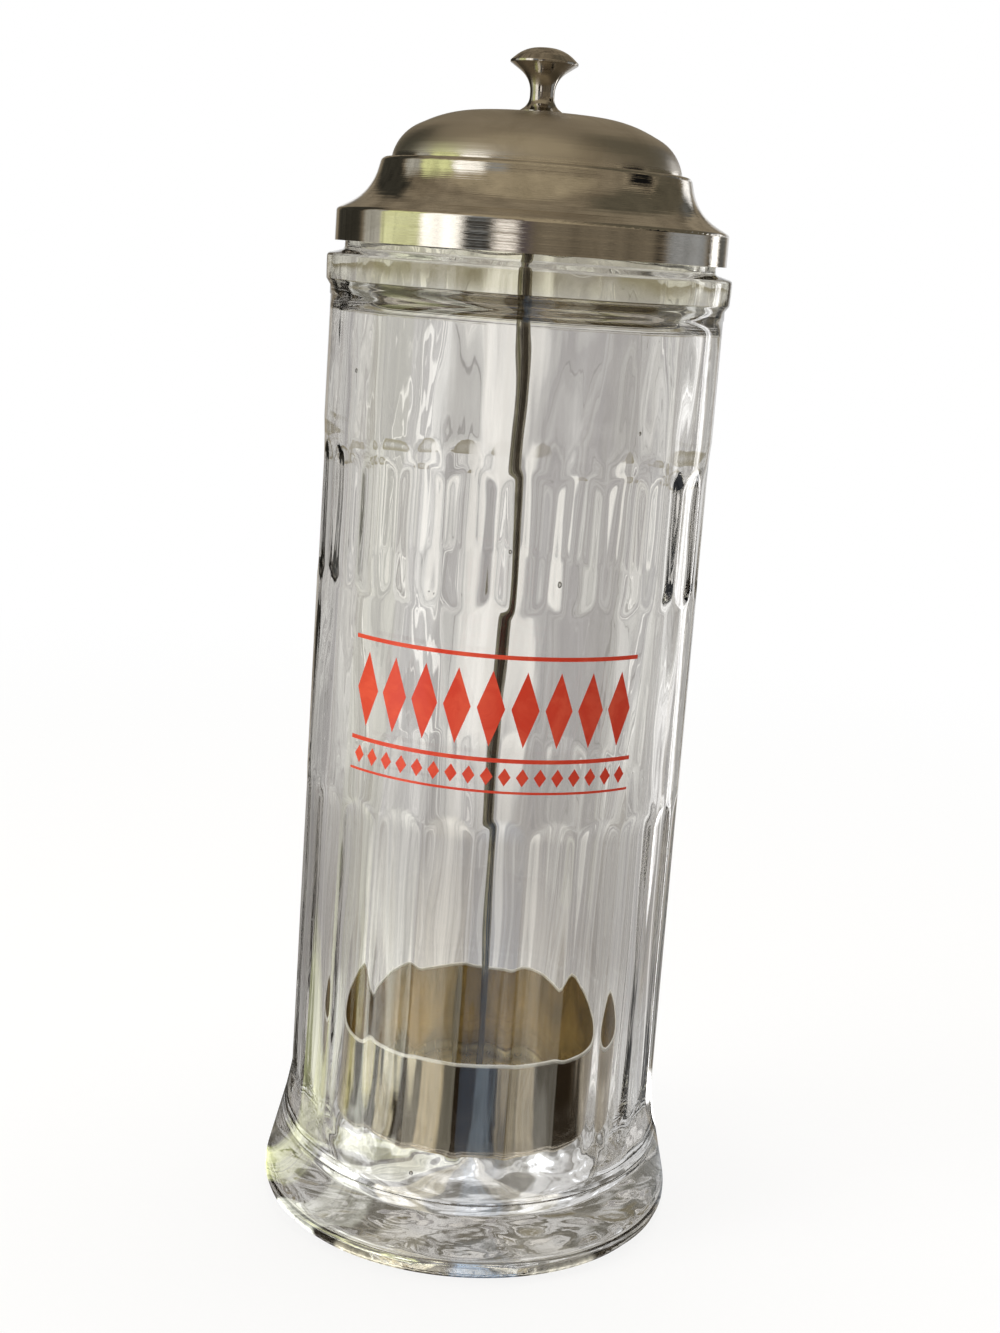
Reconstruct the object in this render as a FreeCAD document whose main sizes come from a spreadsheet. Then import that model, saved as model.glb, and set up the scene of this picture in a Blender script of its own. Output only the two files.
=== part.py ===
"""Straw jar: a fluted pressed-glass jar with a spun metal lid.

The knob, the lid, a centre rod and the straw cup are bolted into one insert.
Pulling the knob lifts the cup, and the straws in it, out of the glass.

Frame: +Z up, origin on the table at the centre of the foot, front towards -Y.
Millimetres. A piece's own outline is drawn from its underside, z = 0, and its
Placement lifts it to its seat.
"""

import FreeCAD, Part
import Sketcher
import os

V = FreeCAD.Vector
FLAT = 1e-6

# Driving dimensions: cell alias, value in millimetres, what it is.
SIZES = (
    # glass jar, heights
    ("jar_height", 252.6, "foot to lip"),
    ("floor_thickness", 9.0, "table to the inside floor"),
    ("kick_depth", 3.0, "hollow under the foot"),
    ("neck_length", 10.1, "lip to the root of the neck"),
    ("bead_slope", 1.2, "fall of the bead's upper face"),
    ("bead_height", 6.0, "straight face of the bead"),
    ("cove_height", 1.4, "undercut below the bead"),
    ("collar_height", 2.1, "collar below the undercut"),
    ("smooth_band", 35.3, "plain band from the collar to the upper flutes"),
    ("band_margin", 1.0, "upper flutes below the taper to the plain band"),
    ("band_blend", 1.2, "taper from the fluted body to the plain band"),
    ("upper_flutes", 33.0, "length of the upper flutes"),
    ("label_band", 49.0, "plain band between the two rows of flutes"),
    ("flare_height", 30.2, "where the flare would meet the body unrounded"),
    ("foot_height", 7.2, "top of the foot's widest part"),
    ("foot_edge", 4.2, "bottom of the foot's widest part"),
    ("heel_height", 2.0, "bevelled ring round the contact face"),
    # glass jar, radii and walls
    ("body_radius", 47.5, "body between and beside the flutes"),
    ("body_wall", 5.5, "body radius to bore at the mouth"),
    ("bore_draft", 0.6, "bore at the floor, smaller by"),
    ("shoulder_step", 0.3, "plain band proud of the body"),
    ("collar_step", 0.2, "collar proud of the plain band"),
    ("bead_reach", 1.4, "bead proud of the plain band"),
    ("bead_taper", 0.2, "bead's lower edge, smaller by"),
    ("neck_inset", 2.5, "neck behind the body"),
    ("foot_spread", 5.5, "foot beyond the body"),
    ("heel_rise", 0.9, "foot beyond the top of its bevelled ring"),
    ("contact_inset", 2.9, "foot beyond the contact face"),
    ("contact_width", 3.4, "contact face"),
    ("kick_flank", 0.8, "slope of the hollow's side"),
    # glass jar, roundings
    ("kick_round", 2.0, "rim of the hollow under the foot"),
    ("foot_round", 3.0, "foot above its bevelled ring"),
    ("foot_shoulder", 12.0, "foot into the flare"),
    ("flare_round", 50.0, "flare into the body"),
    ("bead_round", 0.8, "both edges of the bead"),
    ("neck_round", 0.8, "root of the neck"),
    ("lip_outer_round", 0.6, "lip, outside"),
    ("lip_inner_round", 1.0, "lip, inside"),
    ("floor_round", 10.0, "bore into the floor"),
    # flutes
    ("flute_count", 24, "flutes in each row"),
    ("flute_depth", 0.6, "depth of a flute"),
    ("flute_radius", 54.0, "hollow of a flute, across"),
    ("flute_runout", 24.0, "arched end of a flute, along"),
    ("flute_gap", 0.1, "degrees left between neighbouring cutters, each side"),
    # lid
    ("lid_metal", 0.8, "sheet the lid is spun from"),
    ("lid_play", 1.65, "skirt round the neck, each side"),
    ("seat_play", 0.03, "lid on the glass lip"),
    ("skirt_depth", 8.2, "skirt below the lip"),
    ("skirt_round", 1.1, "edge above the skirt"),
    ("shoulder_reach", 8.1, "skirt beyond the foot of the cove"),
    ("shoulder_rise", 4.4, "foot of the cove above the edge of the skirt"),
    ("cove_round", 13.0, "cove between the shoulder and the band"),
    ("band_lean", 2.05, "lean of the upright band"),
    ("ledge_height", 12.0, "ledge above the lip"),
    ("ledge_round", 1.2, "edge of the ledge"),
    ("ledge_width", 2.2, "ledge beyond the dome"),
    ("dome_height", 24.7, "crown above the lip"),
    ("knuckle_lean", 1.8, "lean of the dome's side"),
    ("knuckle_height", 18.1, "where the dome's side turns in"),
    ("knuckle_round", 11.0, "dome's side into its slope"),
    ("crown_flat", 6.5, "flat seat for the knob"),
    ("crown_inset", 13.6, "where the slope turns into the crown, inside the dome's side"),
    ("crown_drop", 0.75, "that turn below the crown"),
    ("crown_round", 30.0, "slope into the crown"),
    # lift knob
    ("knob_radius", 8.15, "rim of the knob"),
    ("knob_rim_height", 11.4, "underside of the rim"),
    ("knob_rim", 0.5, "upright edge of the rim"),
    ("knob_rim_round", 0.22, "both edges of the rim"),
    ("knob_dome", 3.2, "crown above the rim"),
    ("knob_crown", 4.5, "radius where the crown turns down"),
    ("knob_crown_round", 8.8, "crown"),
    ("knob_neck", 2.95, "radius of the neck"),
    ("knob_neck_low", 2.0, "neck's lower turn"),
    ("knob_neck_high", 7.85, "neck's upper turn"),
    ("knob_neck_low_round", 3.4, "neck into the base"),
    ("knob_neck_high_round", 5.8, "neck into the rim"),
    ("knob_base", 5.3, "radius of the base"),
    ("knob_base_edge", 0.4, "upright edge of the base"),
    ("knob_bore_depth", 7.4, "threaded hole in the knob"),
    # rod and fasteners
    ("rod_radius", 1.6, "lift rod"),
    ("rod_chamfer", 0.4, "both ends of the rod"),
    ("rod_tail", 1.2, "rod beyond the lowest nut"),
    ("rod_top_gap", 0.6, "rod's top to the end of the knob's hole"),
    ("hole_play", 0.2, "rod in a plain hole, each side"),
    ("thread_play", 0.05, "rod in a threaded hole, each side"),
    ("washer_radius", 5.6, "plain washers"),
    ("washer_thickness", 0.8, "plain washers"),
    ("washer_round", 0.2, "upper edge of a punched washer"),
    ("nut_flats", 7.0, "hexagon nuts, across the flats"),
    ("nut_height", 2.6, "hexagon nuts"),
    ("nut_bevel", 0.35, "height of the bevel on the nut's corners"),
    ("nut_bevel_width", 0.75, "width of the bevel on the nut's corners"),
    # straw cup
    ("cup_play", 5.4, "cup inside the bore at the floor, each side"),
    ("cup_height", 27.2, "straw cup"),
    ("cup_metal", 0.8, "sheet the cup is drawn from"),
    ("cup_round", 3.6, "outer bottom corner of the cup"),
    ("cup_rim_round", 0.3, "both edges of the cup's rim"),
    ("cup_lift", 13.8, "cup above the inside floor"),
)

# Sizes that several pieces share, written once as sheet expressions.
SHOULDER = "(Sizes.body_radius + Sizes.shoulder_step)"
BORE = "(Sizes.body_radius - Sizes.body_wall)"
BORE_FLOOR = "(Sizes.body_radius - Sizes.body_wall - Sizes.bore_draft)"
NECK = "(Sizes.body_radius - Sizes.neck_inset)"
FOOT = "(Sizes.body_radius + Sizes.foot_spread)"
CONTACT = "(Sizes.body_radius + Sizes.foot_spread - Sizes.contact_inset)"
NECK_ROOT = "(Sizes.jar_height - Sizes.neck_length)"
BEAD_TOP = "(Sizes.jar_height - Sizes.neck_length - Sizes.bead_slope)"
BEAD_BOTTOM = BEAD_TOP + " - Sizes.bead_height"
COLLAR_TOP = BEAD_BOTTOM + " - Sizes.cove_height"
COLLAR_BOTTOM = COLLAR_TOP + " - Sizes.collar_height"
UPPER_FLUTE_TOP = COLLAR_BOTTOM + " - Sizes.smooth_band"
UPPER_FLUTE_BOTTOM = UPPER_FLUTE_TOP + " - Sizes.upper_flutes"
LOWER_FLUTE_TOP = UPPER_FLUTE_BOTTOM + " - Sizes.label_band"
LOWER_FLUTE_BOTTOM = "Sizes.flare_height"

SKIRT = "(Sizes.body_radius - Sizes.neck_inset + Sizes.lid_play + Sizes.lid_metal)"
COVE_FOOT = "(" + SKIRT + " - Sizes.shoulder_reach)"
LEDGE = "(" + COVE_FOOT + " - Sizes.band_lean)"
DOME = "(" + LEDGE + " - Sizes.ledge_width)"
LID_TOP = "(Sizes.jar_height + Sizes.dome_height)"
LID_UNDERSIDE = "(" + LID_TOP + " - Sizes.lid_metal)"
# Edge of the lid's skirt above the lip, where the sloping shoulder just rests on
# the rounded outside of the lip.
LID_EDGE = ("((Sizes.lip_outer_round + Sizes.lid_metal + Sizes.seat_play)"
            " * sqrt(Sizes.shoulder_reach * Sizes.shoulder_reach"
            " + Sizes.shoulder_rise * Sizes.shoulder_rise)"
            " - (Sizes.lid_play + Sizes.lid_metal + Sizes.lip_outer_round)"
            " * Sizes.shoulder_rise) / Sizes.shoulder_reach - Sizes.lip_outer_round")

CUP_RADIUS = "(" + BORE_FLOOR + " - Sizes.cup_play)"
CUP_BOTTOM = "(Sizes.floor_thickness + Sizes.cup_lift)"
CUP_FLOOR = "(" + CUP_BOTTOM + " + Sizes.cup_metal)"
ROD_BOTTOM = ("(" + CUP_BOTTOM + " - Sizes.washer_thickness - Sizes.nut_height"
              " - Sizes.rod_tail)")
ROD_TOP = "(" + LID_TOP + " + Sizes.knob_bore_depth - Sizes.rod_top_gap)"
THREAD_HOLE = "Sizes.rod_radius + Sizes.thread_play"
PLAIN_HOLE = "Sizes.rod_radius + Sizes.hole_play"


def make_sheet(doc):
    """Put every driving dimension in a named cell."""
    sheet = doc.addObject("Spreadsheet::Sheet", "Sizes")
    for row, (alias, size, meaning) in enumerate(SIZES, start=1):
        sheet.set("A%d" % row, alias)
        sheet.set("B%d" % row, str(size))
        sheet.set("C%d" % row, meaning)
        sheet.setAlias("B%d" % row, alias)
    doc.recompute()
    return sheet


def new_body(doc, label):
    body = doc.addObject("PartDesign::Body", label)
    body.Label = label
    return body


def origin_feature(body, role):
    """One of the body's own origin planes or axes."""
    return next(item for item in body.Origin.OriginFeatures if item.Role == role)


def size_of(body, expression):
    return float(body.evalExpression(expression))


def bind(sketch, index, name, expression):
    """Name a constraint, then tie it to the sheet."""
    sketch.renameConstraint(index, name)
    sketch.setExpression("Constraints." + name, expression)


def outline(body, name, corners, role="XZ_Plane"):
    """A closed outline through corners given as (x, y) or (x, y, rounding).

    Each is a sheet expression, and stays bound to the sheet.
    """
    sketch = body.newObject("Sketcher::SketchObject", name)
    sketch.AttachmentSupport = (origin_feature(body, role), "")
    sketch.MapMode = "FlatFace"
    places = [V(size_of(body, corner[0]), size_of(body, corner[1]), 0) for corner in corners]
    count = len(corners)
    for index in range(count):
        sketch.addGeometry(Part.LineSegment(places[index], places[(index + 1) % count]), False)
    for index in range(count):
        sketch.addConstraint(Sketcher.Constraint("Coincident", index, 2, (index + 1) % count, 1))
    for index, corner in enumerate(corners):
        across = sketch.addConstraint(
            Sketcher.Constraint("DistanceX", -1, 1, index, 1, places[index].x))
        bind(sketch, across, "x%d" % index, corner[0])
        up = sketch.addConstraint(
            Sketcher.Constraint("DistanceY", -1, 1, index, 1, places[index].y))
        bind(sketch, up, "y%d" % index, corner[1])
    for index, corner in enumerate(corners):
        if len(corner) == 3:
            round_corner(body, sketch, index, corner[2])
    return sketch


def round_corner(body, sketch, index, expression):
    """Round a corner and keep the corner point, which carries the dimensions."""
    radius = size_of(body, expression)
    arc = sketch.GeometryCount
    sketch.fillet(index, 1, radius, True, True)
    rounding = sketch.addConstraint(Sketcher.Constraint("Radius", arc, radius))
    bind(sketch, rounding, "r%d" % index, expression)


def revolve(body, name, sketch):
    turned = body.newObject("PartDesign::Revolution", name)
    turned.Profile = sketch
    turned.ReferenceAxis = (origin_feature(body, "Z_Axis"), [""])
    turned.Angle = 360
    body.Document.recompute()
    return turned


def lowest_face(feature):
    """Name of the flat face that looks down at the bottom of a feature."""
    low = feature.Shape.BoundBox.ZMin
    faces = feature.Shape.Faces
    number = next(index for index, face in enumerate(faces, start=1)
                  if abs(face.CenterOfMass.z - low) < FLAT and face.BoundBox.ZLength < FLAT)
    return "Face%d" % number


def bore_up(body, name, radius, depth=None):
    """A round hole on the axis, upwards from z = 0, blind if a depth is given."""
    before = body.Tip.Shape.Volume
    ring = body.newObject("Sketcher::SketchObject", name + "_circle")
    ring.AttachmentSupport = (origin_feature(body, "XY_Plane"), "")
    ring.MapMode = "FlatFace"
    size = size_of(body, radius)
    ring.addGeometry(Part.Circle(V(0, 0, 0), V(0, 0, 1), size), False)
    ring.addConstraint(Sketcher.Constraint("Coincident", 0, 3, -1, 1))
    bind(ring, ring.addConstraint(Sketcher.Constraint("Radius", 0, size)), "hole", radius)
    hole = body.newObject("PartDesign::Pocket", name)
    hole.Profile = ring
    hole.Reversed = True
    if depth is None:
        hole.Type = "ThroughAll"
    else:
        hole.setExpression("Length", depth)
    body.Document.recompute()
    if not hole.Shape.Volume < before:
        raise RuntimeError(name + " cuts nothing")
    return hole


def raise_to(piece, expression):
    piece.setExpression("Placement.Base.z", expression)


def flute_row(body, name, bottom, top):
    """One flute: a groove turned about an upright line outside the glass.

    The cutter's inner edge is straight and curves outwards at both ends, so the
    flute dies away in an arch.
    """
    line = "(Sizes.body_radius - Sizes.flute_depth + Sizes.flute_radius)"
    inner = "(Sizes.body_radius - Sizes.flute_depth)"
    run = ("(Sizes.flute_runout - sqrt(2 * Sizes.flute_runout * Sizes.flute_depth"
           " - Sizes.flute_depth * Sizes.flute_depth))")
    low = bottom + " - " + run
    high = top + " + " + run
    sketch = outline(body, name + "_outline", (
        (line, low),
        (line, high),
        (inner, high, "Sizes.flute_runout"),
        (inner, low, "Sizes.flute_runout"),
    ))
    # Half a pitch round, so that a rib covers the seam of the turned glass.
    sketch.AttachmentOffset.Rotation = FreeCAD.Rotation(V(0, 1, 0), 0)
    sketch.setExpression("AttachmentOffset.Rotation.Angle", "180 / Sizes.flute_count * 1 deg")
    groove = body.newObject("PartDesign::Groove", name)
    groove.Profile = sketch
    groove.ReferenceAxis = (sketch, ["Edge1"])
    groove.Midplane = True
    half = "((180 / Sizes.flute_count - Sizes.flute_gap) * 1 deg)"
    swing = ("2 * atan2(Sizes.body_radius * sin(" + half + "); "
             + line + " - Sizes.body_radius * cos(" + half + "))")
    groove.setExpression("Angle", swing)
    body.Document.recompute()
    return groove


def glass_jar(doc):
    """Pressed glass: a flared foot, two rows of arched flutes, a beaded neck."""
    body = new_body(doc, "glass_jar")
    foot_line = CONTACT + " - Sizes.contact_width"
    taper_foot = UPPER_FLUTE_TOP + " + Sizes.band_margin"
    bead_edge = "(" + SHOULDER + " + Sizes.bead_reach)"
    jar = outline(body, "jar_outline", (
        ("0", "Sizes.kick_depth"),
        (foot_line + " - Sizes.kick_flank", "Sizes.kick_depth", "Sizes.kick_round"),
        (foot_line, "0"),
        (CONTACT, "0"),
        (FOOT + " - Sizes.heel_rise", "Sizes.heel_height"),
        (FOOT, "Sizes.foot_edge", "Sizes.foot_round"),
        (FOOT, "Sizes.foot_height", "Sizes.foot_shoulder"),
        ("Sizes.body_radius", "Sizes.flare_height", "Sizes.flare_round"),
        ("Sizes.body_radius", taper_foot),
        (SHOULDER, taper_foot + " + Sizes.band_blend"),
        (SHOULDER, COLLAR_BOTTOM),
        (SHOULDER + " + Sizes.collar_step", COLLAR_BOTTOM),
        (SHOULDER + " + Sizes.collar_step", COLLAR_TOP),
        (bead_edge + " - Sizes.bead_taper", BEAD_BOTTOM, "Sizes.bead_round"),
        (bead_edge, BEAD_TOP, "Sizes.bead_round"),
        (NECK, NECK_ROOT, "Sizes.neck_round"),
        (NECK, "Sizes.jar_height", "Sizes.lip_outer_round"),
        (BORE, "Sizes.jar_height", "Sizes.lip_inner_round"),
        (BORE_FLOOR, "Sizes.floor_thickness", "Sizes.floor_round"),
        ("0", "Sizes.floor_thickness"),
    ))
    blank = revolve(body, "jar_blank", jar)
    upper = flute_row(body, "upper_flute", UPPER_FLUTE_BOTTOM, UPPER_FLUTE_TOP)
    lower = flute_row(body, "lower_flute", LOWER_FLUTE_BOTTOM, LOWER_FLUTE_TOP)
    rows = body.newObject("PartDesign::PolarPattern", "flute_rows")
    rows.Originals = [upper, lower]
    rows.Axis = (origin_feature(body, "Z_Axis"), [""])
    rows.Angle = 360
    rows.setExpression("Occurrences", "Sizes.flute_count")
    body.Tip = rows
    doc.recompute()
    if not rows.Shape.Volume < lower.Shape.Volume < upper.Shape.Volume < blank.Shape.Volume:
        raise RuntimeError("the flutes do not cut the glass")
    return body


def lid_shell(doc):
    """Spun lid: crown, upright band, cove and skirt in one sheet.

    Its own z = 0 is the height of the glass lip, which carries the shoulder.
    """
    body = new_body(doc, "lid_shell")
    form = outline(body, "lid_outline", (
        ("0", "-Sizes.skirt_depth"),
        (SKIRT, "-Sizes.skirt_depth"),
        (SKIRT, LID_EDGE, "Sizes.skirt_round"),
        (COVE_FOOT, LID_EDGE + " + Sizes.shoulder_rise", "Sizes.cove_round"),
        (LEDGE, "Sizes.ledge_height", "Sizes.ledge_round"),
        (DOME, "Sizes.ledge_height"),
        (DOME + " - Sizes.knuckle_lean", "Sizes.knuckle_height", "Sizes.knuckle_round"),
        (DOME + " - Sizes.crown_inset", "Sizes.dome_height - Sizes.crown_drop", "Sizes.crown_round"),
        ("Sizes.crown_flat", "Sizes.dome_height"),
        ("0", "Sizes.dome_height"),
    ))
    blank = revolve(body, "lid_blank", form)
    hollow = body.newObject("PartDesign::Thickness", "lid_hollow")
    hollow.Base = (blank, [lowest_face(blank)])
    hollow.Join = "Intersection"
    hollow.setExpression("Value", "Sizes.lid_metal")
    doc.recompute()
    if not 0 < hollow.Shape.Volume < blank.Shape.Volume / 2:
        raise RuntimeError("the lid is not hollow")
    bore_up(body, "rod_hole", PLAIN_HOLE)
    raise_to(body, "Sizes.jar_height")
    return body


def lift_knob(doc):
    """Turned knob with a blind threaded hole; its base clamps the lid."""
    body = new_body(doc, "lift_knob")
    rim_top = "(Sizes.knob_rim_height + Sizes.knob_rim)"
    top = rim_top + " + Sizes.knob_dome"
    form = outline(body, "knob_outline", (
        ("0", "0"),
        ("Sizes.knob_base", "0"),
        ("Sizes.knob_base", "Sizes.knob_base_edge"),
        ("Sizes.knob_neck", "Sizes.knob_neck_low", "Sizes.knob_neck_low_round"),
        ("Sizes.knob_neck", "Sizes.knob_neck_high", "Sizes.knob_neck_high_round"),
        ("Sizes.knob_radius", "Sizes.knob_rim_height", "Sizes.knob_rim_round"),
        ("Sizes.knob_radius", rim_top, "Sizes.knob_rim_round"),
        ("Sizes.knob_crown", top, "Sizes.knob_crown_round"),
        ("0", top),
    ))
    revolve(body, "knob_blank", form)
    bore_up(body, "thread_hole", THREAD_HOLE, "Sizes.knob_bore_depth")
    raise_to(body, LID_TOP)
    return body


def lift_rod(doc):
    """Plain rod from the knob down through the lid and the cup's floor."""
    body = new_body(doc, "lift_rod")
    length = ROD_TOP + " - " + ROD_BOTTOM
    form = outline(body, "rod_outline", (
        ("0", "0"),
        ("Sizes.rod_radius - Sizes.rod_chamfer", "0"),
        ("Sizes.rod_radius", "Sizes.rod_chamfer"),
        ("Sizes.rod_radius", length + " - Sizes.rod_chamfer"),
        ("Sizes.rod_radius - Sizes.rod_chamfer", length),
        ("0", length),
    ))
    revolve(body, "rod_bar", form)
    raise_to(body, ROD_BOTTOM)
    return body


def straw_cup(doc):
    """Drawn cup that carries the straws, with a hole for the rod."""
    body = new_body(doc, "straw_cup")
    inside = CUP_RADIUS + " - Sizes.cup_metal"
    form = outline(body, "cup_outline", (
        (PLAIN_HOLE, "0"),
        (CUP_RADIUS, "0", "Sizes.cup_round"),
        (CUP_RADIUS, "Sizes.cup_height", "Sizes.cup_rim_round"),
        (inside, "Sizes.cup_height", "Sizes.cup_rim_round"),
        (inside, "Sizes.cup_metal", "Sizes.cup_round - Sizes.cup_metal"),
        (PLAIN_HOLE, "Sizes.cup_metal"),
    ))
    revolve(body, "cup_wall", form)
    raise_to(body, CUP_BOTTOM)
    return body


def washer(doc, label, height):
    """Plain punched washer lying at a height."""
    body = new_body(doc, label)
    form = outline(body, label + "_outline", (
        (PLAIN_HOLE, "0"),
        ("Sizes.washer_radius", "0"),
        ("Sizes.washer_radius", "Sizes.washer_thickness", "Sizes.washer_round"),
        (PLAIN_HOLE, "Sizes.washer_thickness"),
    ))
    revolve(body, label + "_ring", form)
    raise_to(body, height)
    return body


def hexagon_nut(doc, label, height):
    """Hexagon nut at a height, with both ends of its corners bevelled."""
    body = new_body(doc, label)
    corner = "(Sizes.nut_flats / sqrt(3))"
    turns = ["%d deg" % (60 * side) for side in range(6)]
    hexagon = outline(body, label + "_hexagon", [
        (corner + " * cos(" + turn + ")", corner + " * sin(" + turn + ")") for turn in turns
    ], "XY_Plane")
    block = body.newObject("PartDesign::Pad", label + "_block")
    block.Profile = hexagon
    block.setExpression("Length", "Sizes.nut_height")
    doc.recompute()
    inner = corner + " - Sizes.nut_bevel_width"
    outer = corner + " + Sizes.nut_bevel_width"
    for end, edge, sign in (("under", "0", " + "), ("top", "Sizes.nut_height", " - ")):
        bevel = body.newObject("PartDesign::Groove", label + "_" + end + "_bevel")
        bevel.Profile = outline(body, label + "_" + end + "_outline", (
            (inner, edge),
            (outer, edge),
            (outer, edge + sign + "2 * Sizes.nut_bevel"),
        ))
        bevel.ReferenceAxis = (origin_feature(body, "Z_Axis"), [""])
        bevel.Angle = 360
        doc.recompute()
    bore_up(body, label + "_thread", THREAD_HOLE)
    raise_to(body, height)
    return body


def check(doc, pieces):
    """Refuse to write anything unless every object and every solid is sound."""
    for item in doc.Objects:
        if "Invalid" in item.State or "Error" in item.State:
            raise RuntimeError(item.Label + " failed: " + str(item.State))
    for piece in pieces:
        if piece.Shape.isNull() or not piece.Shape.isValid():
            raise RuntimeError(piece.Label + " is not a valid shape")
        if len(piece.Shape.Solids) != 1:
            raise RuntimeError(piece.Label + " is not one solid")


def main():
    doc = FreeCAD.newDocument("straw_jar")
    make_sheet(doc)
    pieces = [
        glass_jar(doc),
        lid_shell(doc),
        lift_knob(doc),
        lift_rod(doc),
        straw_cup(doc),
        washer(doc, "lid_washer", LID_UNDERSIDE + " - Sizes.washer_thickness"),
        hexagon_nut(doc, "lid_nut", LID_UNDERSIDE + " - Sizes.washer_thickness - Sizes.nut_height"),
        washer(doc, "cup_upper_washer", CUP_FLOOR),
        hexagon_nut(doc, "cup_upper_nut", CUP_FLOOR + " + Sizes.washer_thickness"),
        washer(doc, "cup_lower_washer", CUP_BOTTOM + " - Sizes.washer_thickness"),
        hexagon_nut(doc, "cup_lower_nut",
                    CUP_BOTTOM + " - Sizes.washer_thickness - Sizes.nut_height"),
    ]
    doc.recompute()
    check(doc, pieces)
    os.makedirs("parts", exist_ok=True)
    for piece in pieces:
        piece.Shape.exportStep("parts/" + piece.Label + ".step")
        print(piece.Label, round(piece.Shape.Volume, 1), "mm3")


main()
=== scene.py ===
import math

import bmesh
import bpy
from mathutils import Matrix, Vector, noise


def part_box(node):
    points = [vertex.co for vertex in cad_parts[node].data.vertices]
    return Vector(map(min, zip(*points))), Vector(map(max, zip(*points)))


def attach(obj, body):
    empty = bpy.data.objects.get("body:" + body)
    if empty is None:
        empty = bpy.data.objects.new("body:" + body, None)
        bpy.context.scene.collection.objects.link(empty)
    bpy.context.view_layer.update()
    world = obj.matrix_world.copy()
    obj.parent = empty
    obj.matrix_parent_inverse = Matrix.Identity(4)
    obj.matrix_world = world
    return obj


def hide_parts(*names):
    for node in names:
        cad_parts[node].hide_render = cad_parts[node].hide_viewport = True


MM = 0.001
CENTRE = Vector((0, 0, 0))
UP = Vector((0, 0, 1))

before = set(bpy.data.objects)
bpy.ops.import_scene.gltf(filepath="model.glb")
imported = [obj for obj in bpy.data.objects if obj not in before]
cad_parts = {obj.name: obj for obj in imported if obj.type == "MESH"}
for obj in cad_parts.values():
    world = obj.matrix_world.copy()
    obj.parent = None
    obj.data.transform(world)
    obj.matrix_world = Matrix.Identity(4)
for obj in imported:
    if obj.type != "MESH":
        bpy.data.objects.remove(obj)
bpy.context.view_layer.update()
cup_low, cup_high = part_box("straw_cup")[:2]
SHEET = 0.8 * MM
CUP_RIM = cup_high[2]
CUP_INSIDE = cup_high[0] - SHEET
CUP_BOTTOM = cup_low[2]
CUP_FLOOR = CUP_BOTTOM + SHEET


# ---------------------------------------------------------------- shapes

def section(corners):
    """Bmesh holding a line through (radius, height, rounding, segments) corners, in mm."""
    bm = bmesh.new()
    places = [Vector((r, 0, z)) * MM for r, z, rounding, segments in corners]
    points = [bm.verts.new(place) for place in places]
    for first, second in zip(points, points[1:]):
        bm.edges.new((first, second))
    for index, (r, z, rounding, segments) in enumerate(corners):
        if rounding:
            before = places[index] - places[index - 1]
            after = places[index + 1] - places[index]
            setback = rounding * MM * math.tan(before.angle(after) / 2)
            bmesh.ops.bevel(bm, geom=[points[index]], offset=setback, offset_type="OFFSET",
                            segments=segments, profile=0.5, affect="VERTICES", material=-1)
    return bm


def refine(bm, step_at):
    """Cut every edge of a section into lengths of about step_at(radius, height), in mm."""
    for edge in list(bm.edges):
        middle = (edge.verts[0].co + edge.verts[1].co) / 2
        cuts = int(edge.calc_length() / MM / step_at(middle.x / MM, middle.z / MM))
        if cuts:
            bmesh.ops.subdivide_edges(bm, edges=[edge], cuts=cuts)


def turn(bm, steps):
    """Spin a section once round the upright axis and close it."""
    bmesh.ops.spin(bm, geom=bm.verts[:] + bm.edges[:], cent=CENTRE, axis=UP,
                   angle=2 * math.pi, steps=steps, use_merge=True)
    bmesh.ops.remove_doubles(bm, verts=bm.verts, dist=0.002 * MM)
    bmesh.ops.recalc_face_normals(bm, faces=bm.faces)


def piece_from(bm, name, material, body):
    """Smooth piece that rides on a body and stands for a material slot."""
    for face in bm.faces:
        face.smooth = True
    mesh = bpy.data.meshes.new(name)
    bm.to_mesh(mesh)
    bm.free()
    piece = bpy.data.objects.new(name, mesh)
    bpy.context.scene.collection.objects.link(piece)
    mesh.materials.append(material)
    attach(piece, body)
    return piece


# ---------------------------------------------------------------- the glass jar

# Radii and heights in mm.
BODY = 47.5
BAND = 47.8
COLLAR = 48.0
BEAD = 49.2
NECK = 45.0
BORE = 42.0
BORE_FLOOR = 41.4
FOOT = 52.95
HEEL = FOOT - 0.9
HEEL_TOP = 2.0
CONTACT = 50.1
CONTACT_INNER = 46.7
KICK = 3.0
JAR_TOP = 252.6
NECK_ROOT = 242.5
BEAD_TOP = 241.3
BEAD_BOTTOM = 235.3
COLLAR_TOP = 233.9
COLLAR_BOTTOM = 231.8
FLOOR = 9.0
FLUTES = 24
FLUTE_DEPTH = 0.6
FLUTE_HOLLOW = 54.0
FLUTE_RUNOUT = 24.0
LOWER_FLUTES = (30.2, 114.5)
UPPER_FLUTES = (163.5, 196.5)
ARCH = 7.0
RIB_SOFTNESS = 0.10
ROUND_STEPS = 384
NOTCHES = 128
NOTCH_DEPTH = 0.16
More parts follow.
